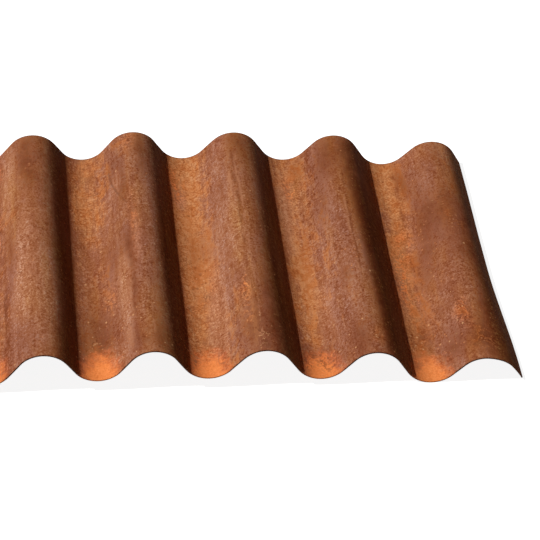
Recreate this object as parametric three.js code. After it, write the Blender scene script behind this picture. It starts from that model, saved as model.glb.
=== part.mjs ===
// Corrugated sheet of weathering steel: a short panel, cut square at both ends, in its full rolled width.
//
// The profile is the common 7/8 inch one: round crests and troughs of one radius, joined by straight flanks.
// It is rolled from one flat strip, so the whole panel is a single solid of even thickness.
// Its right half is gently bowed: it leaves the floor at mid-width and comes down on the last trough.
//
// Units are millimetres. +X runs across the corrugations, +Y along them and +Z up.
// The origin is the middle of the floor that the panel covers.

import * as THREE from "three";

const INCH = 25.4;

// Driving dimensions of the rolled profile
const PITCH = (2 + 2 / 3) * INCH; // crest to crest
const DEPTH = (7 / 8) * INCH; // underside of a trough to the top of a crest
const THICKNESS = 0.76; // 22 gauge
const BEND_RADIUS = (11 / 16) * INCH; // of the sheet's middle surface, in crests and troughs alike

// Driving dimensions of the panel
const CORRUGATIONS = 13; // from the first crest to the last: the width that the panel covers
const TURN_DOWN = 0.3 * PITCH; // from an outer crest to the long edge, cut where the next bend would begin
const LENGTH = 9 * INCH; // along the corrugations

// Driving dimensions of the bow
const BOW_RADIUS = 1800; // of the sheet's middle line, seen along the corrugations
const BOW_REACH = 2.5 * PITCH; // from the bow's highest point to the last trough, where it meets the floor

// Facets: an odd number to each bend leaves one level facet along the top of a crest and under a trough
const BEND_FACETS = 13;

// Worked out from the profile's dimensions
const WAVE_HEIGHT = DEPTH - THICKNESS; // between the crests and the troughs of the middle surface
const MIDDLE = DEPTH / 2; // height of the wave's middle line above the floor
const FLANK_ANGLE = flankAngle(PITCH / 4, WAVE_HEIGHT / 2, BEND_RADIUS);

// Worked out from the bow's dimensions
const BOW_PEAK_X = ((CORRUGATIONS - 1) / 2) * PITCH - BOW_REACH;
const BOW_RISE = BOW_REACH ** 2 / (2 * BOW_RADIUS);
const LIFT_OFF = 2 * Math.sqrt(BOW_RISE * BOW_RADIUS); // from the highest point back to where the bow begins

/**
 * Slope of the straight flank that is tangent to a crest bend and to a trough bend.
 * A quarter of a wave is half a bend and half a flank: run and rise are its size, radius is the bend's.
 */
function flankAngle(run, rise, radius) {
  return Math.asin(radius / Math.hypot(run, rise - radius)) + Math.atan2(rise - radius, run);
}

/** Height and tilt of the bowed middle line at x: level, then curving up, then arching over at one radius. */
function bowAt(x) {
  const past = x - BOW_PEAK_X;
  if (past > -LIFT_OFF / 2) {
    return { height: BOW_RISE - past ** 2 / (2 * BOW_RADIUS), tilt: Math.atan(-past / BOW_RADIUS) };
  }
  const risen = Math.max(past + LIFT_OFF, 0);
  return { height: risen ** 2 / (2 * BOW_RADIUS), tilt: Math.atan(risen / BOW_RADIUS) };
}

/** Moves a point of the flat panel's section, square to the middle line, onto the bow. */
function bend(point) {
  const { height, tilt } = bowAt(point.x);
  return new THREE.Vector2(
    point.x - point.y * Math.sin(tilt),
    MIDDLE + height + point.y * Math.cos(tilt),
  );
}

/** Centre of one bend: even numbers are crests and odd ones are troughs, from left to right. */
function bendCentre(number) {
  const rise = WAVE_HEIGHT / 2 - BEND_RADIUS;
  return new THREE.Vector2(((number - CORRUGATIONS) * PITCH) / 2, number % 2 === 0 ? rise : -rise);
}

/** The round stretch of one bend on a face that lies offset above the sheet's middle surface. */
function bendPoints(number, offset) {
  const isCrest = number % 2 === 0;
  const up = isCrest ? 1 : -1;
  const centre = bendCentre(number);
  const radius = BEND_RADIUS + up * offset;
  const from = up * (Math.PI / 2 + FLANK_ANGLE);
  const to = up * (Math.PI / 2 - FLANK_ANGLE);
  return new THREE.EllipseCurve(centre.x, centre.y, radius, radius, from, to, isCrest).getPoints(BEND_FACETS);
}

/** The long edge of a face, down the flank beyond the outer crest: side is -1 at the left and 1 at the right. */
function longEdge(side, offset) {
  const crest = bendCentre(side < 0 ? 0 : 2 * CORRUGATIONS);
  const square = new THREE.Vector2(side * Math.sin(FLANK_ANGLE), Math.cos(FLANK_ANGLE));
  const down = new THREE.Vector2(side * Math.cos(FLANK_ANGLE), -Math.sin(FLANK_ANGLE));
  const flank = (TURN_DOWN - BEND_RADIUS * Math.sin(FLANK_ANGLE)) / Math.cos(FLANK_ANGLE);
  return crest.clone().addScaledVector(square, BEND_RADIUS + offset).addScaledVector(down, flank);
}

/** One face of the sheet in section, from its left edge to its right one. */
function facePoints(offset) {
  const points = [longEdge(-1, offset)];
  for (let number = 0; number <= 2 * CORRUGATIONS; number += 1) {
    points.push(...bendPoints(number, offset));
  }
  points.push(longEdge(1, offset));
  return points;
}

/** The panel: its section, laid on the bow, drawn out along the corrugations. */
function corrugatedSheet() {
  const top = facePoints(THICKNESS / 2);
  const underside = facePoints(-THICKNESS / 2);
  const section = new THREE.Shape([...top, ...underside.reverse()].map(bend));
  const geometry = new THREE.ExtrudeGeometry(section, { depth: LENGTH, bevelEnabled: false });
  geometry.rotateX(Math.PI / 2);
  geometry.computeBoundingBox();
  const covered = geometry.boundingBox.getCenter(new THREE.Vector3());
  geometry.translate(-covered.x, -covered.y, -geometry.boundingBox.min.z);

  const rust = new THREE.MeshStandardMaterial({ color: 0x9a5c38, roughness: 0.8, metalness: 0.25 });
  const mesh = new THREE.Mesh(geometry, rust);
  mesh.name = "corrugated_sheet";
  return mesh;
}

const panel = new THREE.Group();
panel.name = "corrugated_panel";
panel.add(corrugatedSheet());

export default panel;
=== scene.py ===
"""A short panel of corrugated weathering steel in its full rolled width, bowed along its right half.

The sheet is one piece of rolled steel. Geometry Nodes roll it from a flat grid: round bends and straight
flanks, then the bow, the opened front corner and two leaning bends, the shallow dents and at last the
thickness. Its finish is layered from shared effects: drifting oxide tones, stains that gather in the
troughs, streaks along the corrugations, flash rust where water dries at the front edge, grain, pits, chips
and a few scratches.
"""

import logging
import math
import random
from dataclasses import dataclass, field
from enum import Enum
from typing import Union

import bpy
import numpy as np
from mathutils import Matrix, Vector


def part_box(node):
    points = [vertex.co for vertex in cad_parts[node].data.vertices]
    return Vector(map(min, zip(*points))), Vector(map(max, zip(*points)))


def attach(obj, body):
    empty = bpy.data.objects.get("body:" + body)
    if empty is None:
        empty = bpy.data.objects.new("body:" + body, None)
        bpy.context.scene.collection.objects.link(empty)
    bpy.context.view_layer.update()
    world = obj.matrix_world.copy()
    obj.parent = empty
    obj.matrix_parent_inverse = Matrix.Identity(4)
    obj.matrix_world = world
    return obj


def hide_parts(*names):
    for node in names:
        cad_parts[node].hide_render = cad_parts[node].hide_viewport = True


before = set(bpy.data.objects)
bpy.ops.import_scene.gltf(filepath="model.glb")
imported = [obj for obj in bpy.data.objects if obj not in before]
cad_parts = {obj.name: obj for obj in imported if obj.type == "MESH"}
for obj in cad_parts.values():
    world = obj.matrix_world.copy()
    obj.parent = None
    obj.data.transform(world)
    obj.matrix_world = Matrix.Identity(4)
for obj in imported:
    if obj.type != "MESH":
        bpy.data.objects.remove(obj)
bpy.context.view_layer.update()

MILLIMETRE = 0.001
INCH = 0.0254

NUMBER = "NodeSocketFloat"
VECTOR = "NodeSocketVector"
ORIGIN = (0.0, 0.0, 0.0)
WHITE = (1.0, 1.0, 1.0, 1.0)

log = logging.getLogger("corrugated_panel")


# ---- Node wiring ----


@dataclass(frozen=True)
class Signal:
    """A number that flows through a node tree, so that a formula can be written as one."""

    wiring: "Wiring"
    socket: bpy.types.NodeSocket

    def __add__(self, other: "Value") -> "Signal":
        """Sum of this and another number."""
        return self.wiring.math("ADD", self, other)

    def __sub__(self, other: "Value") -> "Signal":
        """This number less another."""
        return self.wiring.math("SUBTRACT", self, other)

    def __rsub__(self, other: "Value") -> "Signal":
        """Another number less this one."""
        return self.wiring.math("SUBTRACT", other, self)

    def __mul__(self, other: "Value") -> "Signal":
        """Product of this and another number."""
        return self.wiring.math("MULTIPLY", self, other)

    def __truediv__(self, other: "Value") -> "Signal":
        """This number over another."""
        return self.wiring.math("DIVIDE", self, other)

    __radd__ = __add__
    __rmul__ = __mul__


Value = Union[Signal, bpy.types.NodeSocket, float, int, bool, str, tuple, bpy.types.Material]
Inputs = dict[Union[str, int], Value]


class Wiring:
    """Adds nodes to one tree and joins them. A pattern's seed moves it by that many pattern steps."""

    pattern_step: tuple[float, float, float] = (0.731, 0.417, 0.593)

    def __init__(self, tree: bpy.types.NodeTree) -> None:
        """Starts from an emptied tree.

        Args:
            tree: the node tree to fill.
        """
        self.tree = tree
        tree.nodes.clear()

    def feed(self, socket: bpy.types.NodeSocket, value: Value) -> None:
        """Gives a socket a plain value, or a link where the value is a signal.

        Args:
            socket: the input to feed.
            value: a signal, an output socket or a plain value.
        """
        if isinstance(value, Signal):
            value = value.socket
        if isinstance(value, bpy.types.NodeSocket):
            self.tree.links.new(value, socket)
        else:
            socket.default_value = value

    def make(self, kind: str, inputs: Inputs, **settings: object) -> bpy.types.Node:
        """Adds a node.

        Args:
            kind: the node's type name.
            inputs: a value for each input by name or number.
            settings: the node's own properties, such as its operation.

        Returns:
            The new node.
        """
        made = self.tree.nodes.new(kind)
        for name, value in settings.items():
            setattr(made, name, value)
        for name, value in inputs.items():
            self.feed(made.inputs[name], value)
        return made

    def out(self, kind: str, inputs: Inputs, output: Union[str, int] = 0, **settings: object) -> Signal:
        """Adds a node and gives one of its outputs as a signal."""
        return Signal(self, self.make(kind, inputs, **settings).outputs[output])

    def math(self, operation: str, first: Value, second: Value = 0.0) -> Signal:
        """A Math node of one or two numbers."""
        return self.out("ShaderNodeMath", {0: first, 1: second}, operation=operation)

    def lowest(self, first: Value, second: Value) -> Signal:
        """The lower of two numbers."""
        return self.math("MINIMUM", first, second)

    def highest(self, first: Value, second: Value) -> Signal:
        """The higher of two numbers."""
        return self.math("MAXIMUM", first, second)

    def choose(self, test: Signal, if_one: Value, if_zero: Value) -> Signal:
        """One of two numbers, by a test that is 1 or 0, or a blend by one that lies between."""
        return test * if_one + (1.0 - test) * if_zero

    def ramp(self, value: Value, start: Value, end: Value) -> Signal:
        """Rises softly from 0 to 1 as a value goes from start to end."""
        inputs = {"Value": value, "From Min": start, "From Max": end}
        return self.out("ShaderNodeMapRange", inputs, "Result", interpolation_type="SMOOTHSTEP")

    def carried(self, name: Enum) -> Signal:
        """A number that the mesh carries, by its name."""
        return self.out("ShaderNodeAttribute", {}, "Fac", attribute_name=name.value)

    def vector(self, x: Value, y: Value, z: Value) -> Signal:
        """A vector from three numbers."""
        return self.out("ShaderNodeCombineXYZ", {"X": x, "Y": y, "Z": z})

    def split(self, vector: Value) -> tuple[Signal, ...]:
        """The three numbers of a vector."""
        return tuple(Signal(self, part) for part in self.make("ShaderNodeSeparateXYZ", {0: vector}).outputs)

    def blend(self, mask: Value, under: Value, over: Value) -> Signal:
        """A colour that goes from one to another as a mask goes from 0 to 1."""
        return self.out("ShaderNodeMix", {0: mask, 6: under, 7: over}, 2, data_type="RGBA")

    def drawn_out(self, place: Value, times: float, seed: int = 0) -> Signal:
        """Coordinates in which a pattern comes out longer along the corrugations, and moved by its seed."""
        inputs = {0: place, 1: (1.0, 1.0 / times, 1.0), 2: tuple(seed * step for step in self.pattern_step)}
        return self.out("ShaderNodeVectorMath", inputs, operation="MULTIPLY_ADD")

    def noise(
        self, place: Value, size: Value, detail: float = 2.0, roughness: float = 0.5, drift: float = 0.0
    ) -> Signal:
        """Smooth noise that swings about 0, mostly between -1 and 1.

        Args:
            place: coordinates in metres.
            size: rough width of a patch, in metres.
            detail: octaves of finer noise.
            roughness: weight of the finer octaves.
            drift: how far the pattern is pulled about by itself.

        Returns:
            The noise.
        """
        inputs = {
            "Vector": place, "Scale": self.math("DIVIDE", 1.0, size), "Detail": detail,
            "Roughness": roughness, "Distortion": drift,
        }
        return self.out("ShaderNodeTexNoise", inputs, "Fac", normalize=False)


class Group(Wiring):
    """A node tree with named inputs and outputs of its own."""

    def __init__(self, name: str, kind: str, takes: dict[str, Value], gives: dict[str, str]) -> None:
        """Makes the tree and its sockets.

        Args:
            name: the tree's name.
            kind: the tree's type name.
            takes: the default of each input by name, a number or a vector.
            gives: the socket type of each output by name.
        """
        super().__init__(bpy.data.node_groups.new(name, kind))
        for output, socket_type in gives.items():
            self.tree.interface.new_socket(output, in_out="OUTPUT", socket_type=socket_type)
        self.identifiers: dict[str, str] = {}
        for entry, value in takes.items():
            socket_type = VECTOR if isinstance(value, tuple) else NUMBER
            socket = self.tree.interface.new_socket(entry, in_out="INPUT", socket_type=socket_type)
            socket.default_value = value
            self.identifiers[entry] = socket.identifier
        entries = self.make("NodeGroupInput", {}).outputs
        self.given = {entry: Signal(self, entries[entry]) for entry in takes}


def add_object(name: str, data: bpy.types.ID) -> bpy.types.Object:
    """Puts an object into the scene.

    Args:
        name: its name.
        data: its mesh, lamp or camera.

    Returns:
        The object.
    """
    made = bpy.data.objects.new(name, data)
    bpy.context.collection.objects.link(made)
    return made


# ---- The rolled sheet ----


class Mark(str, Enum):
    """Names of the numbers that the sheet's mesh carries for its finish."""

    ACROSS = "across"
    ALONG = "along"


@dataclass(frozen=True)
class RolledProfile:
    """The wave that the sheet is rolled to: round bends of one radius, joined by straight flanks.

    The sheet's long edges reach past the outer crests by turn_down, in pitches.
    """

    pitch: float = (2 + 2 / 3) * INCH
    depth: float = 7 / 8 * INCH
    thickness: float = 0.76 * MILLIMETRE
    bend_radius: float = 11 / 16 * INCH
    corrugations: int = 13
    turn_down: float = 0.3

    @property
    def amplitude(self) -> float:
        """Height of the middle surface's crests over its middle line."""
        return (self.depth - self.thickness) / 2

    @property
    def flank_angle(self) -> float:
        """Slope of the straight flank that is tangent to both bends beside it."""
        run, drop = self.pitch / 4, self.amplitude - self.bend_radius
        return math.asin(self.bend_radius / math.hypot(run, drop)) + math.atan2(drop, run)

    @property
    def outer_crest(self) -> float:
        """Distance from the panel's middle line to its last crest."""
        return self.corrugations / 2 * self.pitch

    @property
    def width(self) -> float:
        """Width of the panel with both turned-down edges."""
        return 2 * (self.outer_crest + self.turn_down * self.pitch)


PROFILE = RolledProfile()
PANEL_LENGTH = 9 * INCH


@dataclass(frozen=True)
class Bow:
    """The panel's bow: level at the left, then curving up and arching over at one radius.

    Its highest point stands back from the last trough by its reach.
    """

    radius: float = 1.8
    reach: float = 2.5 * PROFILE.pitch

    @property
    def rise(self) -> float:
        """Height of the bow's highest point over the level half."""
        return self.reach**2 / (2 * self.radius)

    @property
    def lift_off(self) -> float:
        """From the highest point back to where the sheet leaves the floor."""
        return 2 * math.sqrt(self.rise * self.radius)


@dataclass(frozen=True)
class Lean:
    """A bend that came out of the rolls a little to one side of its place.

    Attributes:
        wave: the bend's place in pitches from the last crest.
        shift: how far it stands to the right.
    """

    wave: float
    shift: float


class Rolling(Group):
    """The tree that rolls a sheet from a flat grid.

    A lean is whole within lean_held pitches of its bend and gone beyond lean_gone. An edge of more than
    crisp_angle radians stays sharp.
    """

    merge_distance: float = 0.01 * MILLIMETRE
    crisp_angle: float = 0.8
    lean_held: float = 0.2
    lean_gone: float = 0.36
    dent_length: float = 1.5

    def __init__(self, sheet: "CorrugatedSheet") -> None:
        """Rolls the grid and marks each point with its place on the flat panel.

        Args:
            sheet: the sheet to roll.
        """
        gives = {"Geometry": "NodeSocketGeometry"}
        super().__init__("roll_sheet", "GeometryNodeTree", sheet.sizes(), gives)
        steps_across = round(sheet.profile.width / sheet.profile.pitch * sheet.steps_per_pitch)
        flat = self.out(
            "GeometryNodeMeshGrid",
            {
                "Size X": self.given["Width"], "Size Y": self.given["Length"],
                "Vertices X": steps_across + 1, "Vertices Y": sheet.steps_along + 1,
            },
        )
        self.across, self.along, _ = self.split(self.out("GeometryNodeInputPosition", {}))
        marked = self.mark(self.mark(flat, Mark.ACROSS, self.across), Mark.ALONG, self.along)

        wave = self.wave_height()
        rise, tilt = self.bow_line()
        flare = self.opened_corner()
        x = self.across - wave * self.math("SINE", tilt) + flare + self.leaning(len(sheet.leans))
        z = rise + wave * self.math("COSINE", tilt) + flare * self.given["Flare Lift"]
        place = self.vector(x, self.along, z)
        rolled = self.out("GeometryNodeSetPosition", {"Geometry": marked, "Position": place})
        self.make("NodeGroupOutput", {"Geometry": self.finished(*self.thickened(rolled))})

    def mark(self, mesh: Value, name: Mark, value: Value) -> Signal:
        """Stores a number at each point of a mesh under a name."""
        inputs = {"Geometry": mesh, "Name": name.value, "Value": value}
        return self.out("GeometryNodeStoreNamedAttribute", inputs, data_type="FLOAT", domain="POINT")

    def wave_height(self) -> Signal:
        """Height of the wave over its middle line: bends at the crests and troughs, flanks between them.

        Returns:
            The height.
        """
        pitch, radius, flank_angle = (self.given[name] for name in ("Pitch", "Bend Radius", "Flank Angle"))
        from_crest = self.math("PINGPONG", self.across - self.given["Outer Crest"], pitch * 0.5)
        past_middle = self.math("GREATER_THAN", from_crest, pitch * 0.25)
        nearest = self.lowest(from_crest, pitch * 0.5 - from_crest)
        bent = self.lowest(nearest, radius * self.math("SINE", flank_angle))
        bend = self.given["Amplitude"] - (radius - self.math("SQRT", radius * radius - bent * bent))
        flank = (pitch * 0.25 - nearest) * self.math("TANGENT", flank_angle)
        return (1.0 - past_middle * 2.0) * self.lowest(bend, flank)

    def bow_line(self) -> tuple[Signal, Signal]:
        """The line that the wave runs along.

        Returns:
            Its height over the floor and its tilt in radians.
        """
        given = self.given
        past = self.across - given["Bow Peak"]
        lift_off, radius = given["Lift Off"], given["Bow Radius"]
        arched = self.math("GREATER_THAN", past, lift_off * -0.5)
        risen = self.highest(past + lift_off, 0.0)
        over = given["Bow Rise"] - past * past / (radius * 2.0)
        up = risen * risen / (radius * 2.0)
        height = self.choose(arched, over, up) + given["Amplitude"] + given["Thickness"] * 0.5
        slope = self.choose(arched, past * -1.0, risen) / radius
        return height, self.math("ARCTANGENT", slope)

    def opened_corner(self) -> Signal:
        """How far the turned-down edge is spread outwards at the front right corner.

        Returns:
            The outward shift.
        """
        down = self.ramp(self.across, self.given["Outer Crest"], self.given["Width"] * 0.5)
        front = self.ramp(self.along, 0.0, self.given["Length"] * -0.5)
        return down * front * self.given["Corner Flare"]

    def leaning(self, leans: int) -> Signal:
        """How far the sheet is shifted sideways: all of a leaning bend, and less over the flanks beside it.

        Args:
            leans: how many bends lean.

        Returns:
            The shift to the right.
        """
        pitch = self.given["Pitch"]
        shift: Value = 0.0
        for number in range(leans):
            bend = self.given["Outer Crest"] + self.given[f"Leaning Wave {number}"] * pitch
            from_bend = self.math("ABSOLUTE", self.across - bend)
            near = self.ramp(from_bend, pitch * self.lean_gone, pitch * self.lean_held)
            shift = near * self.given[f"Lean {number}"] + shift
        return shift

    def thickened(self, surface: Value) -> tuple[Signal, Signal, Signal]:
        """Dents the middle surface and gives it the sheet's thickness.

        Args:
            surface: the middle surface.

        Returns:
            The closed sheet, and which of its faces are the top and which the cut edges.
        """
        given = self.given
        place = self.out("GeometryNodeInputPosition", {})
        normal = self.out("GeometryNodeInputNormal", {}, "Normal")
        spread = self.drawn_out(place, self.dent_length)
        dents = self.noise(spread, given["Dent Size"]) * given["Dent Height"]
        down = dents - given["Thickness"] * 0.5
        sunk = self.out("ShaderNodeVectorMath", {0: normal, "Scale": down}, operation="SCALE")
        under = self.out("GeometryNodeSetPosition", {"Geometry": surface, "Offset": sunk})
        grown = self.make(
            "GeometryNodeExtrudeMesh",
            {"Mesh": under, "Offset": normal, "Offset Scale": given["Thickness"], "Individual": False},
            mode="FACES",
        )
        joined = self.make("GeometryNodeJoinGeometry", {})
        for part in (grown.outputs["Mesh"], self.out("GeometryNodeFlipFaces", {"Mesh": under})):
            self.feed(joined.inputs[0], part)
        inputs = {"Geometry": joined.outputs[0], "Distance": self.merge_distance}
        closed = self.out("GeometryNodeMergeByDistance", inputs)
        return closed, Signal(self, grown.outputs["Top"]), Signal(self, grown.outputs["Side"])

    def finished(self, closed: Value, top: Value, side: Value) -> Value:
        """Shades the sheet smooth up to its crisp edges and gives it its three materials.

        Args:
            closed: the closed sheet.
            top: which faces are its top.
            side: which faces are its cut edges.

        Returns:
            The finished sheet.
        """
        smooth = self.out("GeometryNodeSetShadeSmooth", {"Geometry": closed, "Shade Smooth": True})
        angle = self.out("GeometryNodeInputMeshEdgeAngle", {}, "Unsigned Angle")
        sharp = self.math("GREATER_THAN", angle, self.crisp_angle)
        inputs = {"Geometry": smooth, "Shade Smooth": False, "Selection": sharp}
        crisp = self.out("GeometryNodeSetShadeSmooth", inputs, domain="EDGE")
        covered = self.out("GeometryNodeRealizeInstances", {"Geometry": crisp})
        for faces, finish in ((True, SHELTERED_FACE), (side, SHEARED_EDGE), (top, WEATHERED_FACE)):
            inputs = {"Geometry": covered, "Selection": faces, "Material": finish.material()}
            covered = self.out("GeometryNodeSetMaterial", inputs)
        return covered


@dataclass
class CorrugatedSheet:
    """The panel itself."""

    node: str = "corrugated_sheet"
    profile: RolledProfile = PROFILE
    bow: Bow = field(default_factory=Bow)
    length: float = PANEL_LENGTH
    steps_per_pitch: int = 44
    steps_along: int = 44
    dent_height: float = 0.25 * MILLIMETRE
    dent_size: float = 70 * MILLIMETRE
    corner_flare: float = 3.4 * MILLIMETRE
    flare_lift: float = 0.35
    leans: tuple[Lean, ...] = (Lean(-4.0, 0.8 * MILLIMETRE), Lean(-2.5, -0.6 * MILLIMETRE))

    def sizes(self) -> dict[str, float]:
        """The panel's sizes.

        Returns:
            The value of each input of the rolling tree by name.
        """
        sizes = {
            "Pitch": self.profile.pitch,
            "Amplitude": self.profile.amplitude,
            "Bend Radius": self.profile.bend_radius,
            "Flank Angle": self.profile.flank_angle,
            "Thickness": self.profile.thickness,
            "Width": self.profile.width,
            "Length": self.length,
            "Bow Radius": self.bow.radius,
            "Bow Peak": (self.profile.corrugations - 1) / 2 * self.profile.pitch - self.bow.reach,
            "Bow Rise": self.bow.rise,
            "Lift Off": self.bow.lift_off,
            "Dent Height": self.dent_height,
            "Dent Size": self.dent_size,
            "Corner Flare": self.corner_flare,
            "Flare Lift": self.flare_lift,
            "Outer Crest": self.profile.outer_crest,
        }
        for number, lean in enumerate(self.leans):
            sizes |= {f"Lean {number}": lean.shift, f"Leaning Wave {number}": lean.wave}
        return sizes

    def build(self) -> bpy.types.Object:
        """Rolls the sheet and stands it in for its solid.

        Returns:
            The finished piece.
        """
        rolling = Rolling(self)
        stock = add_object("stock", bpy.data.meshes.new("stock"))
        modifier = stock.modifiers.new("roll", "NODES")
        modifier.node_group = rolling.tree
        for name, size in self.sizes().items():
            modifier[rolling.identifiers[name]] = size
        bpy.context.view_layer.update()
        graph = bpy.context.evaluated_depsgraph_get()
        mesh = bpy.data.meshes.new_from_object(
            stock.evaluated_get(graph), preserve_all_data_layers=True, depsgraph=graph
        )
        bpy.data.objects.remove(stock)
        sheet = add_object("rolled_sheet", mesh)
        self.seat(mesh)
        self.stain(mesh)
        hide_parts(self.node)
        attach(sheet, "root")
        return sheet

    def seat(self, mesh: bpy.types.Mesh) -> None:
        """Centres the sheet on its solid, but for the opened corner, and stands it on the floor.

        Args:
            mesh: the sheet's mesh.
        """
        low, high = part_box(self.node)
        xs = [vertex.co.x for vertex in mesh.vertices]
        zs = [vertex.co.z for vertex in mesh.vertices]
        aside = (low[0] + high[0]) / 2 - (min(xs) + max(xs)) / 2 + self.corner_flare / 2
        mesh.transform(Matrix.Translation((aside, 0.0, low[2] - min(zs))))

    def stain(self, mesh: bpy.types.Mesh) -> None:
        """Gives each point of the mesh the strength of each tone of rust there.

        Args:
            mesh: the sheet's mesh.
        """
        places = {}
        for mark in Mark:
            places[mark] = np.zeros(len(mesh.vertices), dtype=np.float32)
            mesh.attributes[mark.value].data.foreach_get("value", places[mark])
        across = places[Mark.ACROSS] - self.profile.outer_crest
        back = self.length / 2 - places[Mark.ALONG]
        stains = [*PLACED_STAINS, *Scatter(first=-self.profile.corrugations, last=-5).stains()]
        for oxide in Oxide:
            strength = sum(stain.spread(across, back) for stain in stains if stain.oxide is oxide)
            carried = mesh.attributes.new(oxide.value, "FLOAT", "POINT")
            carried.data.foreach_set("value", strength.astype(np.float32))


# ---- Effects that the finishes share ----

Colour = tuple[float, float, float, float]


def tone(red: int, green: int, blue: int) -> Colour:
    """A colour as it is seen, from 0 to 255, turned into the linear light that a shader takes."""
    seen = (part / 255 for part in (red, green, blue))
    return (*(part / 12.92 if part <= 0.04045 else ((part + 0.055) / 1.055) ** 2.4 for part in seen), 1.0)


class Effect(Group):
    """A shader effect: a node group that is built once and placed in each material with its own values."""

    name: str = ""
    takes: dict[str, Value] = {}
    gives: tuple[str, ...] = ()

    def __init__(self) -> None:
        """Builds the group."""
        super().__init__(self.name, "ShaderNodeTree", self.takes, dict.fromkeys(self.gives, NUMBER))
        self.make("NodeGroupOutput", self.draw())

    def draw(self) -> dict[str, Value]:
        """Fills the group.

        Returns:
            A value for each of its outputs by name.
        """
        raise NotImplementedError

    @classmethod
    def place(cls, wiring: Wiring, values: dict[str, Value]) -> dict[str, Signal]:
        """Places the effect in a material.

        Args:
            wiring: the material's wiring.
            values: its inputs by name; an input left out keeps its default.

        Returns:
            Its outputs by name.
        """
        group = bpy.data.node_groups.get(cls.name) or cls().tree
        placed = wiring.make("ShaderNodeGroup", values, node_tree=group)
        return {name: Signal(wiring, placed.outputs[name]) for name in cls.gives}


class WavePlace(Effect):
    """Where a point lies on the panel: how deep in a trough, on which flank, how far from the ends."""

    name = "wave_place"
    takes = {"Pitch": PROFILE.pitch, "Outer Crest": PROFILE.outer_crest, "Length": PANEL_LENGTH}
    gives = ("Across", "Hollow", "Facing Left", "Past Trough", "Trough", "From Front", "From Back")

    def draw(self) -> dict[str, Value]:
        """Works the places out from the numbers that the mesh carries.

        Returns:
            A value for each of its outputs by name.
        """
        across, along = self.carried(Mark.ACROSS), self.carried(Mark.ALONG)
        pitch = self.given["Pitch"]
        pitches = (across - self.given["Outer Crest"]) / pitch
        turn = pitches * math.tau
        trough = self.math("FLOOR", pitches)
        half_length = self.given["Length"] * 0.5
        return {
            "Across": across,
            "Hollow": 0.5 - self.math("COSINE", turn) * 0.5,
            "Facing Left": self.math("SINE", turn) * -1.0,
            "Past Trough": (pitches - trough - 0.5) * pitch,
            "Trough": trough,
            "From Front": half_length + along,
            "From Back": half_length - along,
        }


class OxideDrift(Effect):
    """Broad tones of the oxide, drawn out along the corrugations, and the smaller blotches between them."""

    name = "oxide_drift"
    takes = {"Place": ORIGIN, "Size": 0.03}
    gives = ("Depth", "Hue", "Mottle")

    def draw(self) -> dict[str, Value]:
        """Draws the three noises.

        Returns:
            A value for each of its outputs by name.
        """
        place, size = self.given["Place"], self.given["Size"]
        deep = self.drawn_out(place, 2.5)
        hued = self.drawn_out(place, 4.0, seed=3)
        mottled = self.drawn_out(place, 1.4, seed=6)
        return {
            "Depth": self.noise(deep, size, detail=4.0, roughness=0.6, drift=0.3),
            "Hue": self.noise(hued, size * 0.6, detail=4.0, roughness=0.6, drift=0.3),
            "Mottle": self.noise(mottled, size * 0.35, detail=3.0, roughness=0.7, drift=0.8),
        }


class Streaks(Effect):
    """Fine streaks along the corrugations, left by rolling and by rain."""

    name = "streaks"
    takes = {"Place": ORIGIN, "Width": 0.01}
    gives = ("Streaks",)

    def draw(self) -> dict[str, Value]:
        """Draws the streaks as noise that is stretched a dozen times."""
        long = self.drawn_out(self.given["Place"], 12.0, seed=5)
        return {"Streaks": self.noise(long, self.given["Width"], detail=5.0, roughness=0.85)}


class Grain(Effect):
    """The sandy grain of the oxide: fine grains, and the clumps that they gather in."""

    name = "grain"
    takes = {"Place": ORIGIN, "Size": 0.0012}
    gives = ("Grain", "Clumps")

    def draw(self) -> dict[str, Value]:
        """Draws the two noises, each pulled about so that the grains run together here and there.

        Returns:
            A value for each of its outputs by name.
        """
        place, size = self.given["Place"], self.given["Size"]
        clumped = self.drawn_out(place, 1.2, seed=7)
        return {
            "Grain": self.noise(place, size, detail=1.0, roughness=0.8, drift=0.7),
            "Clumps": self.noise(clumped, size * 3.0, detail=1.0, roughness=0.7, drift=1.2),
        }


class Specks(Effect):
    """Ragged specks scattered one to a cell: only some cells have one, and no two are the same size."""

    name = "specks"
    takes = {"Place": ORIGIN, "Size": 0.002, "Share": 0.3, "Smallest": 0.12, "Growth": 0.32}
    gives = ("Specks",)

    def draw(self) -> dict[str, Value]:
        """Draws the specks.

        Returns:
            A value for each of its outputs by name.
        """
        place, size = self.given["Place"], self.given["Size"]
        inputs = {"Vector": place, "Scale": self.math("DIVIDE", 1.0, size), "Randomness": 1.0}
        cells = self.make("ShaderNodeTexVoronoi", inputs)
        luck, growth, _ = self.split(cells.outputs["Color"])
        ragged = self.noise(place, size * 0.35, detail=1.0) * 0.12
        distance = Signal(self, cells.outputs["Distance"]) + ragged
        reach = growth * self.given["Growth"] + self.given["Smallest"]
        shape = 1.0 - self.ramp(distance, reach * 0.5, reach)
        return {"Specks": shape * self.math("LESS_THAN", luck, self.given["Share"])}


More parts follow.
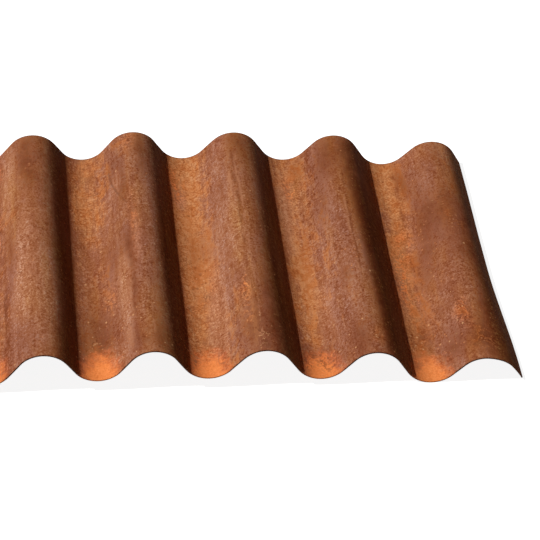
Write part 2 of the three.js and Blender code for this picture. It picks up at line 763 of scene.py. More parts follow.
class FlashRust(Effect):
    """Fresh rust in the front end of each trough, where the last water dries: a soft half round patch."""

    name = "flash_rust"
    takes = {
        "Place": ORIGIN, "Past Trough": 0.0, "From Front": 0.0, "Trough": 0.0,
        "Aside": 0.0015, "Half Width": 0.013, "Reach": 0.027,
    }
    gives = ("Patch", "Vividness")

    def draw(self) -> dict[str, Value]:
        """Draws the patch, with a ragged rim, and how vivid each trough's is.

        Returns:
            A value for each of its outputs by name.
        """
        given = self.given
        luck = self.out("ShaderNodeTexWhiteNoise", {"W": given["Trough"]}, "Color", noise_dimensions="1D")
        first, second, _ = self.split(luck)
        aside = (given["Past Trough"] - given["Aside"]) / given["Half Width"]
        ahead = given["From Front"] / (given["Reach"] * (first * 0.1 + 0.95))
        distance = self.math("SQRT", aside * aside + ahead * ahead)
        ragged = self.noise(given["Place"], 5 * MILLIMETRE, detail=3.0, roughness=0.65)
        return {
            "Patch": 1.0 - self.ramp(distance + ragged * 0.22, 0.45, 1.2),
            "Vividness": second * 0.35 + 0.65,
        }


class LineAlong(Effect):
    """One thin line along the corrugations, which sways a little and fades at both ends."""

    name = "line_along"
    takes = {
        "Place": ORIGIN, "Across": 0.0, "From Back": 0.0, "Centre": 0.0, "Half Width": 0.002,
        "Start": 0.0, "End": 0.1, "Fade": 0.012, "Sway": 0.0012,
    }
    gives = ("Line",)

    def draw(self) -> dict[str, Value]:
        """Draws the line.

        Returns:
            A value for each of its outputs by name.
        """
        given = self.given
        place, back, fade = given["Place"], given["From Back"], given["Fade"]
        sway = self.noise(self.drawn_out(place, 3.0), 20 * MILLIMETRE, roughness=0.6) * given["Sway"]
        aside = self.math("ABSOLUTE", given["Across"] - given["Centre"] + sway)
        ragged = self.noise(self.drawn_out(place, 4.0, seed=2), 4 * MILLIMETRE, detail=4.0, roughness=0.8)
        width = given["Half Width"] * (0.9 + ragged * 1.2)
        begun = self.ramp(back, given["Start"], given["Start"] + fade)
        ended = self.ramp(back, given["End"] - fade, given["End"])
        faint = self.ramp(ragged, -0.5, 0.3)
        return {"Line": (1.0 - self.ramp(aside, 0.0, width)) * faint * begun * (1.0 - ended)}


class ArcScratch(Effect):
    """One curved scratch: a stretch of a thin ring."""

    name = "arc_scratch"
    takes = {
        "Across": 0.0, "From Back": 0.0, "Centre Across": 0.0, "Centre Back": 0.0,
        "Radius": 0.01, "Half Width": 0.0005, "Middle": 0.0, "Spread": 0.5,
    }
    gives = ("Scratch",)

    def draw(self) -> dict[str, Value]:
        """Draws the scratch.

        Returns:
            A value for each of its outputs by name.
        """
        given = self.given
        aside = given["Across"] - given["Centre Across"]
        behind = given["From Back"] - given["Centre Back"]
        radius = self.math("SQRT", aside * aside + behind * behind)
        off_ring = self.math("ABSOLUTE", radius - given["Radius"]) / given["Half Width"]
        bearing = self.math("ARCTAN2", behind, aside) - given["Middle"]
        off_middle = self.math("ARCCOSINE", self.math("COSINE", bearing))
        ends = 1.0 - self.ramp(off_middle, given["Spread"] * 0.6, given["Spread"])
        return {"Scratch": (1.0 - self.ramp(off_ring, 0.4, 1.0)) * ends}


class CutEdge(Effect):
    """The dark rim beside a cut end."""

    name = "cut_edge"
    takes = {"Place": ORIGIN, "From Front": 0.1, "From Back": 0.1, "Width": 0.0007}
    gives = ("Rim",)

    def draw(self) -> dict[str, Value]:
        """Draws the rim, wider and narrower by turns.

        Returns:
            A value for each of its outputs by name.
        """
        nearest = self.lowest(self.given["From Front"], self.given["From Back"])
        ragged = self.noise(self.given["Place"], 4 * MILLIMETRE, detail=3.0, roughness=0.7)
        width = self.given["Width"] * (1.0 + ragged * 0.8)
        return {"Rim": 1.0 - self.ramp(nearest, width * 0.3, width)}


# ---- Stains and marks ----


class Oxide(str, Enum):
    """The tones that rust turns to in places. The mesh carries how strong each one is at every point."""

    OCHRE = "ochre"
    VIOLET = "violet"
    PALE = "pale"
    UMBER = "umber"
    FRESH = "fresh"
    FLAKED = "flaked"


@dataclass(frozen=True)
class Stain:
    """A soft patch of one tone.

    Its middle is given in pitches from the last crest and in millimetres from the back end, and its half
    width and half length in millimetres. A strength below 0 holds the tone back.
    """

    oxide: Oxide
    across: float
    back: float
    half_width: float
    half_length: float
    strength: float = 1.0

    def spread(self, across: np.ndarray, back: np.ndarray) -> np.ndarray:
        """How strong the stain is at each point.

        Args:
            across: metres from the last crest.
            back: metres from the back end.

        Returns:
            A number for each point, largest in the middle of the stain.
        """
        aside = (across - self.across * PROFILE.pitch) / (self.half_width * MILLIMETRE)
        ahead = (back - self.back * MILLIMETRE) / (self.half_length * MILLIMETRE)
        return self.strength * np.exp(-(aside**2 + ahead**2))


@dataclass(frozen=True)
class RunMark:
    """A thin line that water left along the sheet, in the same units as a stain."""

    oxide: Oxide
    across: float
    start: float
    end: float
    half_width: float
    strength: float = 1.0


@dataclass(frozen=True)
class Scratch:
    """A curved scratch in the same units as a stain, with its bearings in degrees from straight across.

    A chipped one has lost its scale and shows pale.
    """

    across: float
    back: float
    radius: float
    middle: float
    spread: float
    half_width: float = 0.5
    chipped: bool = False


def stains_of(oxide: Oxide, *places: tuple[float, ...]) -> list[Stain]:
    """Stains of one tone, each from its middle across and back, half width, half length and strength."""
    return [Stain(oxide, *place) for place in places]


# Each tone's stains go from the left to the right.
PLACED_STAINS = (
    *stains_of(
        Oxide.OCHRE,
        (-4.24, 165, 4, 50, 0.6), (-3.52, 155, 6, 52, -0.6), (-3.47, 45, 11, 44, 0.7),
        (-3.47, 176, 12, 28, -1.0), (-3.11, 12, 8, 12, 0.6), (-2.52, 52, 12, 50, 1.1),
        (-2.47, 108, 8, 30, -0.5), (-2.46, 150, 12, 50, 0.4), (-2.42, 165, 9, 46, 0.8),
        (-1.58, 44, 5, 16, 0.5), (-1.56, 66, 6, 50, 1.4), (-1.48, 150, 8, 60, 0.6),
        (-1.42, 78, 6, 30, -0.6), (-1.25, 100, 7, 46, -0.5), (-0.97, 62, 8, 62, -0.9),
        (-0.58, 150, 5, 36, 1.0), (-0.52, 20, 7, 26, 1.0), (-0.49, 188, 8, 13, -0.8),
        (-0.47, 84, 8, 34, 0.6), (-0.44, 50, 6, 16, 0.8), (-0.12, 72, 8, 16, -0.6), (0.03, 158, 6, 30, 0.6),
        (0.08, 34, 7, 46, 1.2),
    ),
    *stains_of(
        Oxide.VIOLET,
        (-4.14, 206, 8, 20), (-4.04, 30, 6, 12, 0.6), (-3.47, 182, 12, 26, 1.1), (-3.34, 48, 4, 12, 0.7),
        (-3.15, 108, 4, 14, 1.4), (-3.12, 218, 5, 9, 0.8), (-3.02, 32, 6, 13, 0.8),
        (-2.98, 180, 5, 24, 0.6), (-2.27, 92, 10, 56, 0.7), (-2.20, 200, 6, 26, 0.6),
        (-2.18, 218, 9, 12, 0.7), (-2.14, 162, 6, 20, 1.0), (-2.13, 10, 6, 9, -1.0),
        (-1.99, 12, 6, 14, 0.8), (-1.24, 74, 7, 34, 0.7), (-1.20, 195, 8, 26, 0.6), (-1.18, 28, 8, 18, 0.7),
        (-1.16, 214, 8, 12, 0.7), (-0.98, 48, 13, 38, 1.0), (-0.47, 190, 9, 14, 0.8),
        (-0.24, 84, 6, 24, 0.8), (-0.22, 190, 6, 34, 0.4), (-0.20, 32, 5, 18, 1.1), (-0.16, 92, 6, 18, 0.7),
        (-0.11, 197, 6, 11, 0.8), (-0.06, 8, 16, 12, -1.4), (0.06, 160, 7, 22, -0.8),
    ),
    *stains_of(
        Oxide.PALE,
        (-4.27, 62, 4, 36, 0.6), (-4.22, 28, 5, 32, 1.0), (-4.19, 170, 4, 24, 0.9),
        (-4.13, 130, 4, 52, 1.3), (-4.11, 148, 3, 11, 0.8), (-4.07, 122, 6, 44, 0.6),
        (-3.98, 180, 8, 40, 0.7), (-3.92, 110, 7, 130, 0.7), (-3.48, 8, 9, 16, 0.6),
        (-3.36, 218, 7, 14, 0.7), (-3.28, 216, 4, 8, 0.6), (-3.20, 50, 5, 14, 1.1),
        (-3.20, 168, 4, 46, 1.3), (-3.17, 146, 3, 20, 0.5), (-3.06, 110, 3, 32, 0.9),
        (-3.05, 10, 5, 16, 0.7), (-3.00, 31, 6, 10, 0.6), (-2.59, 50, 5, 13, 0.8), (-2.55, 50, 4, 12, 0.8),
        (-2.38, 192, 5, 30, 1.1), (-2.33, 165, 6, 50, 1.1), (-2.24, 88, 9, 56, 0.6),
        (-2.20, 30, 4, 14, 0.6), (-2.12, 100, 5, 50, 0.7), (-2.11, 196, 3, 8, 0.7), (-1.59, 96, 4, 14, 0.6),
        (-1.56, 72, 5, 30, 0.5), (-1.54, 48, 7, 44, 0.9), (-1.36, 168, 5, 40, 0.9),
        (-1.10, 160, 5, 36, 0.7), (-1.05, 195, 3, 10, 0.7), (-0.58, 146, 5, 30, 1.1),
        (-0.36, 98, 6, 12, 0.6), (-0.18, 36, 5, 20, 0.5), (-0.01, 216, 5, 7, 0.5),
    ),
    *stains_of(
        Oxide.UMBER,
        (-4.24, 112, 3, 26, 0.7), (-4.10, 214, 7, 18, 0.4), (-4.09, 22, 8, 32, 1.0),
        (-4.02, 46, 5, 22, 0.3), (-4.02, 100, 5, 90, 0.3), (-3.92, 90, 4, 140, 0.6),
        (-3.62, 206, 4, 26, 0.6), (-3.46, 198, 12, 9, 0.3), (-3.45, 182, 9, 24, 0.45),
        (-3.42, 144, 14, 34, 0.4), (-3.40, 178, 10, 18, 0.3), (-3.37, 192, 4, 12, 0.4),
        (-3.28, 112, 5, 26, 0.4), (-3.20, 30, 5, 20, 0.5), (-3.15, 58, 4, 22, 0.8),
        (-3.15, 122, 5, 16, 0.6), (-3.13, 112, 4, 14, 0.6), (-3.13, 165, 3, 46, 0.9),
        (-3.10, 214, 7, 14, 0.8), (-3.02, 16, 5, 10, 0.4), (-2.95, 26, 4, 26, 0.9),
        (-2.94, 180, 4, 60, 0.4), (-2.92, 215, 5, 18, 0.7), (-2.50, 108, 4, 34, 0.5),
        (-2.38, 106, 7, 26, 0.5), (-2.10, 206, 9, 24, 0.5), (-2.06, 12, 6, 18, 0.5),
        (-2.06, 40, 5, 30, 0.3), (-2.04, 200, 8, 34, 0.6), (-1.96, 14, 5, 20, 0.6),
        (-1.93, 110, 4, 90, 0.6), (-1.90, 172, 6, 24, 0.4), (-1.89, 214, 5, 30, 0.7),
        (-1.46, 120, 8, 50, 0.3), (-1.38, 16, 5, 18, 0.7), (-1.24, 66, 6, 22, 0.5),
        (-1.14, 148, 5, 16, 0.4), (-1.14, 206, 8, 20, 0.5), (-1.12, 24, 8, 30, 1.1),
        (-1.12, 218, 6, 14, 0.7), (-0.99, 12, 6, 14, 0.5), (-0.94, 60, 5, 60, 0.8),
        (-0.87, 140, 5, 150, 1.7), (-0.48, 186, 6, 24, 0.45), (-0.43, 192, 9, 14, 0.4),
        (-0.42, 150, 7, 50, 0.4), (-0.38, 18, 4, 20, 0.5), (-0.34, 30, 4, 18, 0.8),
        (-0.30, 118, 8, 40, 0.7), (-0.26, 206, 6, 20, 0.7), (-0.25, 62, 5, 44, 0.5),
        (-0.12, 78, 10, 30, 0.9), (-0.10, 208, 9, 16, 0.9), (-0.07, 120, 6, 14, 0.5),
        (-0.05, 16, 6, 20, 0.5), (0.00, 200, 7, 30, 0.5), (0.02, 84, 9, 50, 0.6), (0.06, 174, 5, 14, 0.4),
        (0.07, 214, 6, 24, 0.7), (0.11, 110, 5, 60, 0.6), (0.14, 190, 5, 44, 1.2),
    ),
    *stains_of(
        Oxide.FRESH,
        (-4.33, 22, 3, 10, 0.8), (-3.33, 158, 5, 13, 0.4), (-3.07, 96, 2.5, 30, 0.6), (-3.06, 9, 4, 8, 0.7),
        (-2.62, 20, 3, 6, 1.1), (-2.60, 40, 4, 12, 0.9), (-2.56, 34, 5, 14, 0.5), (-2.45, 146, 6, 18, 0.6),
        (-2.11, 185, 3, 26, 0.5), (-2.10, 160, 3, 8, 0.8), (-1.48, 36, 4, 12, 1.0), (-0.98, 212, 3, 5, 1.2),
        (-0.55, 122, 4, 22, 0.9), (-0.50, 150, 8, 50, 0.6), (-0.46, 92, 6, 14, 0.9),
        (-0.12, 179, 4, 9, 1.1), (-0.03, 208, 7, 16, 0.5), (0.00, 88, 6, 14, 0.6),
    ),
    *stains_of(
        Oxide.FLAKED,
        (-3.46, 196, 5, 7, 0.6), (-3.31, 118, 2.5, 12, 0.4), (-2.61, 214, 3, 9, 0.7),
        (-2.44, 150, 5, 7, 0.6), (-2.42, 154, 2, 3, 1.0), (-2.36, 214, 2.5, 6, 0.9),
        (-2.03, 176, 1.6, 14, 0.8), (-2.01, 216, 3.5, 9, 1.3), (-1.60, 214, 4, 8, 1.1),
        (-1.52, 208, 6, 5, 0.5), (-1.40, 213, 5, 10, 1.2), (-1.03, 190, 2.5, 10, 0.4),
        (-0.98, 213, 2.2, 4, 1.2), (-0.57, 214, 4, 9, 0.5), (-0.26, 170, 3, 5, 0.4),
        (-0.11, 180, 3, 6, 1.0), (-0.04, 210, 4, 7, 0.5), (0.00, 90, 5, 12, 0.6),
    ),
)

PLACED_RUN_MARKS = (
    RunMark(Oxide.PALE, -2.03, 20, 222, 1.3, 0.75),
    RunMark(Oxide.PALE, -1.03, 33, 158, 1.0, 0.6),
    RunMark(Oxide.UMBER, -1.01, 30, 150, 0.9, 0.6),
    RunMark(Oxide.PALE, -2.99, 178, 214, 1.0, 0.5),
    RunMark(Oxide.OCHRE, -2.09, 152, 228, 3.0, 0.3),
    RunMark(Oxide.UMBER, -4.30, 145, 212, 1.8, 0.7),
    RunMark(Oxide.UMBER, -2.065, 16, 150, 1.5, 0.5),
    RunMark(Oxide.PALE, -2.11, 14, 70, 1.6, 0.8),
    RunMark(Oxide.PALE, -2.03, 160, 212, 0.9, 1.0),
    RunMark(Oxide.PALE, -2.20, 186, 214, 0.8, 0.8),
    RunMark(Oxide.UMBER, -2.01, 158, 186, 0.8, 0.6),
    RunMark(Oxide.PALE, -3.19, 126, 228, 3.4, 0.5),
)

PLACED_SCRATCHES = (
    Scratch(-3.42, 30, 13, 75, 40),
    Scratch(-3.44, 32, 17, 60, 30),
    Scratch(-3.46, 196, 5, 200, 70),
    Scratch(-3.40, 170, 9, 300, 40),
    Scratch(-1.045, 23.3, 150, 168.6, 11, 0.7),
    Scratch(-2.00, 208, 4, 120, 80),
    Scratch(-1.97, 216, 4, 300, 70),
    Scratch(-1.39, 133, 1.8, 0, 70, 0.7),
    Scratch(-2.04, 212, 2.4, 60, 80, 0.6, True),
    Scratch(-1.98, 211, 2.0, 130, 90, 0.6, True),
    Scratch(-2.02, 224, 2.6, 250, 80, 0.7, True),
    Scratch(-1.41, 123, 5, 80, 22, 0.8, True),
    Scratch(-0.98, 213, 1.6, 200, 130, 1.1, True),
    Scratch(-1.88, 98, 3, 20, 25, 0.6, True),
    Scratch(-1.86, 147, 3, 20, 25, 0.6, True),
    Scratch(-3.48, 197, 3, 250, 70, 0.8, True),
)


@dataclass(frozen=True)
class Scatter:
    """Stains of the same kinds and sizes as the placed ones, scattered over a stretch of waves.

    Each pair is a range in the units of a stain, across from the crest or trough, but for the half width
    and half length in ochre_size. Each trough gets its ochre stains, and each crest one stain of each tone.
    """

    first: int
    last: int
    seed: int = 11
    strength: tuple[float, float] = (0.5, 1.1)
    ochre_across: tuple[float, float] = (-0.04, 0.04)
    ochre_back: tuple[float, float] = (20, 200)
    ochre_size: tuple[float, float] = (9.5, 42)
    ochres: int = 2
    across: tuple[float, float] = (-0.32, 0.25)
    back: tuple[float, float] = (10, 218)
    half_width: tuple[float, float] = (4, 9)
    half_length: tuple[float, float] = (16, 46)
    tones: tuple[Oxide, ...] = (
        Oxide.VIOLET, Oxide.VIOLET, Oxide.UMBER, Oxide.UMBER, Oxide.PALE, Oxide.FRESH,
    )

    def stains(self) -> list[Stain]:
        """Scatters them.

        Returns:
            The stains.
        """
        draw = random.Random(self.seed).uniform
        stains = []
        for crest in range(self.first, self.last + 1):
            for _ in range(self.ochres):
                back, strength = draw(*self.ochre_back), draw(*self.strength)
                across = crest + 0.5 + draw(*self.ochre_across)
                stains.append(Stain(Oxide.OCHRE, across, back, *self.ochre_size, strength))
            for oxide in self.tones:
                across, size = draw(*self.across), (draw(*self.half_width), draw(*self.half_length))
                stains.append(Stain(oxide, crest + across, draw(*self.back), *size, draw(*self.strength)))
        return stains


# ---- Finishes ----


def new_material(name: str) -> tuple[bpy.types.Material, bpy.types.NodeTree]:
    """Makes an empty material.

    Args:
        name: its name.

    Returns:
        The material and its node tree.
    """
    material = bpy.data.materials.new(name)
    material.use_nodes = True
    return material, material.node_tree


@dataclass(frozen=True)
class Speckle:
    """One kind of speck.

    Attributes:
        size: width of the cell that each one stands in.
        share: how many cells have one.
        strength: how much of the colour under it is covered.
        length: how many times longer than wide it is.
        seed: moves the pattern.
    """

    size: float
    share: float
    strength: float
    length: float = 1.0
    seed: int = 0


@dataclass(frozen=True)
class Rust:
    """A rusted finish: matt oxide over steel, with grain that catches a raking light.

    Its colours are the tones of the oxide and of its marks, all laid over the plain rust, and a painted
    shade for the flanks that face away from the lamp. A share or a strength says how much of one shows,
    from 0 to 1.
    """

    name: str
    rust: Colour = tone(164, 101, 66)
    violet: Colour = tone(154, 97, 73)
    ochre: Colour = tone(200, 132, 83)
    amber: Colour = tone(189, 113, 62)
    pale: Colour = tone(186, 125, 90)
    umber: Colour = tone(118, 60, 31)
    fresh: Colour = tone(206, 114, 60)
    deep: Colour = tone(92, 48, 28)
    # painted shade: the dark colour given to the right flanks, which face away from the lamp
    painted_shade: Colour = tone(100, 50, 16)
    flash: Colour = tone(254, 147, 78)
    flash_fringe: Colour = tone(232, 112, 68)
    rim: Colour = tone(90, 52, 36)
    speck: Colour = tone(218, 142, 92)
    chip: Colour = tone(222, 164, 116)
    hollow_ochre: float = 0.68
    # how much of the painted shade covers the right flanks
    painted_shade_share: float = 0.9
    pale_share: float = 0.8
    ruddiness: float = 0.26
    drift_size: float = 30 * MILLIMETRE
    streak_contrast: float = 0.2
    grain_contrast: float = 0.47
    smoothest: float = 0.6
    grain_height: float = 0.05 * MILLIMETRE
    roughness: float = 0.84
    specular: float = 0.06
    pits: Speckle = Speckle(3 * MILLIMETRE, share=0.2, strength=0.45, length=1.5)
    specks: Speckle = Speckle(2 * MILLIMETRE, share=0.3, strength=0.55, seed=9)
    chips: Speckle = Speckle(2.2 * MILLIMETRE, share=0.008, strength=0.7, length=1.2, seed=4)
    crowd_size: float = 25 * MILLIMETRE
    flaked_share: float = 0.4
    thrown_from: float = 200 * MILLIMETRE
    thrown_to: float = 20 * MILLIMETRE
    most_eaten: float = 0.65
    scratch_strength: float = 0.5
    chipped_strength: float = 0.6
    rim_strength: float = 0.6
    run_marks: tuple[RunMark, ...] = PLACED_RUN_MARKS
    scratches: tuple[Scratch, ...] = PLACED_SCRATCHES
    has_flash: bool = True

    def material(self) -> bpy.types.Material:
        """The finish as a new material.

        Returns:
            The material.
        """
        material, tree = new_material(self.name)
        layers = RustLayers(tree, self)
        layers.shade(layers.marks(layers.tones()))
        return material


class RustLayers(Wiring):
    """The layers of one finish, drawn in its material."""

    darkest: float = 0.1
    green_fall: float = 1.75
    blue_fall: float = 2.45

    def __init__(self, tree: bpy.types.NodeTree, look: Rust) -> None:
        """Places the effects that more than one layer reads.

        Args:
            tree: the material's node tree.
            look: the finish.
        """
        super().__init__(tree)
        self.look = look
        self.place = self.out("ShaderNodeTexCoord", {}, "Object")
        self.wave = WavePlace.place(self, {})
        self.drift = OxideDrift.place(self, {"Place": self.place, "Size": look.drift_size})
        self.streaks = Streaks.place(self, {"Place": self.place})["Streaks"]
        self.grain = Grain.place(self, {"Place": self.place})
        self.flaked = self.carried(Oxide.FLAKED)

    def thicker(self, colour: Value, level: Value, ruddy: Value = 0.0) -> Signal:
        """A rust colour at another level: thicker oxide is darker, and loses more green and blue than red.

        Args:
            colour: the colour to change.
            level: how light it turns, where 1 leaves it.
            ruddy: how much blue it loses besides.

        Returns:
            The colour.
        """
        red = self.highest(level, self.darkest)
        green, blue = self.math("POWER", red, self.green_fall), self.math("POWER", red, self.blue_fall)
        factor = self.vector(red, green, blue * (1.0 - ruddy))
        return self.out("ShaderNodeVectorMath", {0: colour, 1: factor}, operation="MULTIPLY")

    def tones(self) -> Signal:
        """The broad tones: violet and umber on the flanks, ochre in the troughs, and painted shade right of
        a crest.

        Returns:
            The colour.
        """
        look, wave, drift, grain, streaks = self.look, self.wave, self.drift, self.grain, self.streaks
        # Rough patterns that break up the edges of the tones, from fine to broad.
        sandy = grain["Grain"] + grain["Clumps"] * 0.6
        blotchy = drift["Depth"] * 0.35 + drift["Mottle"] * 0.35
        broken = blotchy + streaks * 0.3 + sandy * 0.6
        # Violet lies on the left flanks and in its stains.
        left = self.ramp(wave["Facing Left"], 0.1, 0.9) * 0.6 - 0.2
        hue = left + drift["Hue"] * 0.7 + self.carried(Oxide.VIOLET) * 0.8 + blotchy * 0.6
        violet = self.ramp(hue, -0.45, 1.2)
        colour = self.blend(violet, look.rust, look.violet)
        # Ochre lies in the troughs and in its stains, and turns to amber in places.
        depth = wave["Hollow"] + drift["Depth"] * 0.25 + drift["Mottle"] * 0.15
        hollow = self.ramp(depth, 0.4, 1.0) * look.hollow_ochre
        patchy = blotchy * 1.1 + streaks * 0.3 - drift["Hue"] * 0.2
        ochre = self.ramp(hollow + self.carried(Oxide.OCHRE) * 0.6 + patchy, 0.0, 1.35)
        curdled = self.ramp(drift["Mottle"] - grain["Clumps"] * 0.5 + streaks * 0.5, -0.6, 0.8)
        colour = self.blend(ochre, colour, self.blend(curdled, look.ochre, look.amber))
        # Umber lies in its stains, and is weaker over ochre.
        stained = self.carried(Oxide.UMBER)
        umber = self.ramp(stained * 0.8 + broken - 0.3, 0.0, 1.1)
        colour = self.blend(umber * (1.0 - ochre * 0.7), colour, look.umber)
        # Painted shade: the right flanks, which face away from the lamp, are painted dark down to near the
        # bottom of the trough, and from higher up where umber stains lie.
        facing_right = self.ramp(wave["Facing Left"] * -1.0 + broken * 0.2 + stained * 0.1, 0.45, 1.1)
        right = facing_right * (1.0 - self.ramp(wave["Hollow"], 0.72, 0.84))
        colour = self.blend(right * look.painted_shade_share, colour, look.painted_shade)
        # Pale rust lies in its stains, and fresh rust between the grains of its own.
        pale = self.ramp(self.carried(Oxide.PALE) * 0.8 - broken * 0.4, 0.05, 1.0)
        colour = self.blend(pale * look.pale_share, colour, look.pale)
        grains = self.ramp(grain["Clumps"] + grain["Grain"] * 0.6 + drift["Mottle"] * 0.6, -0.2, 0.6)
        colour = self.blend(self.carried(Oxide.FRESH) * grains, colour, look.fresh)
        # Streaks and grain make all of it lighter and darker, least so in the ochre and most in the painted
        # shade of the right flanks.
        rough = 1.0 - ochre * 0.35 + right * 0.5 + drift["Mottle"] * 0.3 + drift["Depth"] * 0.25
        fine = streaks * look.streak_contrast + sandy * look.grain_contrast
        fine = self.math("EXPONENT", fine * self.highest(rough, look.smoothest))
        level = (0.995 + blotchy * 0.12 - stained * 0.06 - umber * ochre * 0.3) * fine
        ruddy = drift["Hue"] * (ochre - 1.0) * (1.0 - violet) * look.ruddiness
        return self.thicker(colour, level, ruddy)

    def marks(self, colour: Signal) -> Signal:
        """The small marks over the tones, one kind over another.

        Args:
            colour: the colour under them.

        Returns:
            The colour with its marks.
        """
        for layer in (self.run_marks, self.specks, self.scratches, self.rims, self.flash):
            colour = layer(colour)
        return colour

    def run_marks(self, colour: Signal) -> Signal:
        """The lines that water left.

        Args:
            colour: the colour under them.

        Returns:
            The colour with its lines.
        """
        look, wave = self.look, self.wave
        for oxide, over in ((Oxide.PALE, look.pale), (Oxide.OCHRE, look.ochre), (Oxide.UMBER, look.umber)):
            line: Value = 0.0
            for mark in (mark for mark in look.run_marks if mark.oxide is oxide):
                values = {
                    "Place": self.place, "Across": wave["Across"], "From Back": wave["From Back"],
                    "Centre": PROFILE.outer_crest + mark.across * PROFILE.pitch,
                    "Half Width": mark.half_width * MILLIMETRE,
                    "Start": mark.start * MILLIMETRE, "End": mark.end * MILLIMETRE,
                }
                line = self.highest(line, LineAlong.place(self, values)["Line"] * mark.strength)
            colour = self.blend(line, colour, over)
        return colour

    def scattered(self, kind: Speckle, added: Value = 0.0) -> Signal:
        """Specks of one kind over the whole face.

        Args:
            kind: the kind of speck.
            added: what the share of cells that have one grows by.

        Returns:
            Where they are.
        """
        place = self.drawn_out(self.place, kind.length, kind.seed)
        values = {"Place": place, "Size": kind.size, "Share": added + kind.share}
        return Specks.place(self, values)["Specks"]

    def specks(self, colour: Signal) -> Signal:
        """Dark pits, bright specks that crowd together in places, and chips thrown towards the front end.

        Args:
            colour: the colour under them.

        Returns:
            The colour with its specks.
        """
        look, hollow, flaked = self.look, self.wave["Hollow"], self.flaked
        colour = self.blend(self.scattered(look.pits) * look.pits.strength, colour, look.umber)
        place = self.drawn_out(self.place, look.specks.length, look.specks.seed)
        crowds = self.noise(place, look.crowd_size, roughness=0.6) + hollow * 0.15
        shown = self.highest(self.ramp(crowds, -0.05, 0.35) * look.specks.strength, flaked)
        bright = self.scattered(look.specks, flaked * look.flaked_share) * shown
        colour = self.blend(bright, colour, self.blend(flaked, look.speck, look.chip))
        near_front = self.ramp(self.wave["From Front"], look.thrown_from, look.thrown_to)
        thrown = near_front * (hollow * 0.06 + 0.02)
        return self.blend(self.scattered(look.chips, thrown) * look.chips.strength, colour, look.chip)

    def scratches(self, colour: Signal) -> Signal:
        """The curved scratches, dark or chipped.

        Args:
            colour: the colour under them.

        Returns:
            The colour with its scratches.
        """
        look, wave = self.look, self.wave
        cut: dict[bool, Value] = {False: 0.0, True: 0.0}
        for scratch in look.scratches:
            values = {
                "Across": wave["Across"], "From Back": wave["From Back"],
                "Centre Across": PROFILE.outer_crest + scratch.across * PROFILE.pitch,
                "Centre Back": scratch.back * MILLIMETRE, "Radius": scratch.radius * MILLIMETRE,
                "Half Width": scratch.half_width * MILLIMETRE,
                "Middle": math.radians(scratch.middle), "Spread": math.radians(scratch.spread),
            }
            drawn = ArcScratch.place(self, values)["Scratch"]
            cut[scratch.chipped] = self.highest(cut[scratch.chipped], drawn)
        worn = self.ramp(self.grain["Grain"], -0.35, 0.15)
        colour = self.blend(cut[False] * worn * look.scratch_strength, colour, look.deep)
        return self.blend(cut[True] * worn * look.chipped_strength, colour, look.chip)

    def rims(self, colour: Signal) -> Signal:
        """The dark rims beside the cut ends.

        Args:
            colour: the colour under them.

        Returns:
            The colour with its rims.
        """
        ends = {name: self.wave[name] for name in ("From Front", "From Back")}
        rim = CutEdge.place(self, {"Place": self.place, **ends})["Rim"]
        return self.blend(rim * self.look.rim_strength, colour, self.look.rim)

    def flash(self, colour: Signal) -> Signal:
        """Flash rust in the front ends of the troughs, eaten away where the scale has flaked.

        Args:
            colour: the colour under it.

        Returns:
            The colour with its patches.
        """
        if not self.look.has_flash:
            return colour
        look, grain = self.look, self.grain
        where = {name: self.wave[name] for name in ("Past Trough", "From Front", "Trough")}
        patch = FlashRust.place(self, {"Place": self.place, **where})
        fresh = self.blend(patch["Patch"], look.flash_fringe, look.flash)
        fresh = self.thicker(fresh, 1.0 + grain["Grain"] * 0.12)
        colour = self.blend(patch["Patch"] * patch["Vividness"], colour, fresh)
        broken = self.ramp(grain["Clumps"] + grain["Grain"] * 0.5, 0.0, 0.4)
        return self.blend(broken * self.lowest(self.flaked, look.most_eaten), colour, look.umber)

    def shade(self, colour: Signal) -> None:
        """Gives the material its shader, with the colour, a dull shine and the grain's relief.

        Args:
            colour: the colour with its marks.
        """
        look, grain = self.look, self.grain
        height = grain["Grain"] + grain["Clumps"]
        relief = {"Height": height, "Strength": 1.0, "Distance": look.grain_height}
        inputs = {
            "Base Color": colour,
            "Roughness": look.roughness + self.drift["Depth"] * 0.06 + grain["Grain"] * 0.04,
            "Specular IOR Level": look.specular,
            "Normal": self.out("ShaderNodeBump", relief),
        }
        self.make("ShaderNodeOutputMaterial", {"Surface": self.out("ShaderNodeBsdfPrincipled", inputs)})


WEATHERED_FACE = Rust("weathered_face")
# The underside and the cut edges get no painted shade.
SHELTERED_FACE = Rust(
    "sheltered_face", rust=tone(150, 92, 64), ochre=tone(168, 102, 62),
    hollow_ochre=0.3, painted_shade_share=0.0, run_marks=(), scratches=(), has_flash=False,
)
SHEARED_EDGE = Rust(
    "sheared_edge", rust=tone(120, 74, 50), violet=tone(92, 58, 44), ochre=tone(160, 92, 52),
    hollow_ochre=0.1, painted_shade_share=0.0, run_marks=(), scratches=(),
)


# ---- The studio ----


def towards(height: float, bearing: float) -> Vector:
    """The way to a place far off.

    Args:
        height: how far it stands over the horizon, in degrees.
        bearing: which way round it lies, in degrees: 0 is the front and -90 the left.

    Returns:
        A vector of length 1.
    """
    up, round_by = math.radians(height), math.radians(bearing)
    return Vector((math.sin(round_by) * math.cos(up), -math.cos(round_by) * math.cos(up), math.sin(up)))


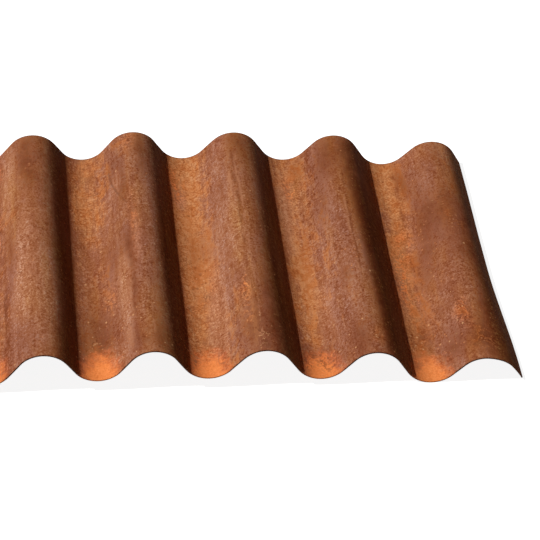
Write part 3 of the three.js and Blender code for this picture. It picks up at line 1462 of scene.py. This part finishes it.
@dataclass
class Studio:
    """Floor, light and camera, with angles in degrees and lengths in metres."""

    elevation: float = 37.787
    azimuth: float = -7.975
    roll: float = 3.724
    distance: float = 1.6518
    focal_pixels: float = 2606.67
    frame_pixels: float = 540.0
    aim: tuple[float, float, float] = (0.31683, -0.0183, 0.015)
    nearest: float = 0.05
    farthest: float = 50.0
    sun_height: float = 51.3
    sun_from: float = -84.0
    sun_strength: float = 3.1
    sun_spread: float = 0.6
    fill: float = 0.008
    floor_half: float = 6.0
    floor_tone: Colour = (0.6, 0.6, 0.6, 1.0)
    floor_glow: float = 0.9

    def camera(self) -> None:
        """Sets up the camera: where it stands, what it aims at and how it is rolled."""
        data = bpy.data.cameras.new("camera")
        data.lens = data.sensor_width * self.focal_pixels / self.frame_pixels
        data.clip_start, data.clip_end = self.nearest, self.farthest
        camera = add_object("camera", data)
        back = towards(self.elevation, self.azimuth)
        camera.location = Vector(self.aim) + back * self.distance
        roll = Matrix.Rotation(math.radians(self.roll), 3, "Z")
        camera.rotation_euler = (back.to_track_quat("Z", "Y").to_matrix() @ roll).to_euler()
        bpy.context.scene.camera = camera

    def light(self) -> None:
        """A distant lamp from the left, and a sky that is white to look at but lights the scene weakly."""
        lamp = bpy.data.lights.new("key", "SUN")
        lamp.energy = self.sun_strength
        lamp.angle = math.radians(self.sun_spread)
        way = towards(self.sun_height, self.sun_from)
        add_object("key", lamp).rotation_euler = way.to_track_quat("Z", "Y").to_euler()
        world = bpy.data.worlds.new("studio")
        bpy.context.scene.world = world
        world.use_nodes = True
        wiring = Wiring(world.node_tree)
        path = wiring.make("ShaderNodeLightPath", {}).outputs
        shows = wiring.highest(path["Is Glossy Ray"], path["Is Transmission Ray"])
        strength = wiring.choose(wiring.highest(path["Is Camera Ray"], shows), 1.0, self.fill)
        sky = wiring.out("ShaderNodeBackground", {"Color": WHITE, "Strength": strength})
        wiring.make("ShaderNodeOutputWorld", {"Surface": sky})

    def floor(self) -> None:
        """A wide pale floor, which glows to the camera so that only the shadow on it shows."""
        half = self.floor_half
        mesh = bpy.data.meshes.new("floor")
        corners = [(-half, -half, 0), (half, -half, 0), (half, half, 0), (-half, half, 0)]
        mesh.from_pydata(corners, [], [(0, 1, 2, 3)])
        material, tree = new_material("pale_floor")
        wiring = Wiring(tree)
        matt = wiring.out("ShaderNodeBsdfDiffuse", {"Color": self.floor_tone})
        strength = wiring.out("ShaderNodeLightPath", {}, "Is Camera Ray") * self.floor_glow
        glow = wiring.out("ShaderNodeEmission", {"Color": WHITE, "Strength": strength})
        both = wiring.out("ShaderNodeAddShader", {0: matt, 1: glow})
        wiring.make("ShaderNodeOutputMaterial", {"Surface": both})
        mesh.materials.append(material)
        add_object("floor", mesh)

    def build(self) -> None:
        """Sets up the whole studio."""
        self.camera()
        self.light()
        self.floor()
        bpy.context.scene.view_settings.view_transform = "Standard"


def main() -> None:
    """Builds the panel and its studio."""
    logging.basicConfig(level=logging.INFO, format="%(name)s: %(message)s")
    Studio().build()
    sheet = CorrugatedSheet().build()
    log.info("%s: %d faces", sheet.name, len(sheet.data.polygons))


if __name__ == "__main__":
    main()
